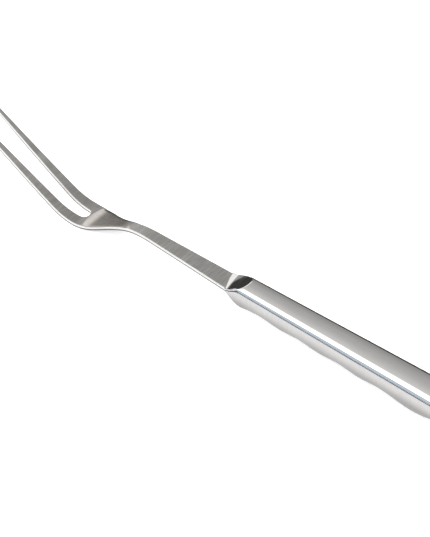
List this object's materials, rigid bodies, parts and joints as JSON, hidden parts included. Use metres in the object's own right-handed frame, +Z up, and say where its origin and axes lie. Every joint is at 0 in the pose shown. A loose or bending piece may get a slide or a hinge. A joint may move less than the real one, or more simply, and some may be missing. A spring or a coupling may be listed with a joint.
{
  "type": "roasting fork",
  "caption": "Rigid two-tine steel fork with a cranked flat shank welded into a hollow polished handle with finger grips.",
  "frame": {"origin": "centre of the bounding box in plan, on the table that the fork rests on", "axes": "+X along the handle, away from the tines; +Z up from the table; the fork is symmetric about Y = 0"},
  "size_m": [0.3194, 0.0192, 0.0442],
  "materials": {
    "brushed_strip": "satin, brushed across the strip",
    "polished_shell": "bright polish",
    "polished_weld": "mirror polish, ground flush"
  },
  "bodies": {
    "root": {"fork_head": "brushed_strip", "handle_upper_shell": "polished_shell", "handle_lower_shell": "polished_shell", "neck_weld_top": "polished_weld", "neck_weld_under": "polished_weld", "seam_weld_near": "polished_weld", "seam_weld_far": "polished_weld"}
  },
  "joints": []
}
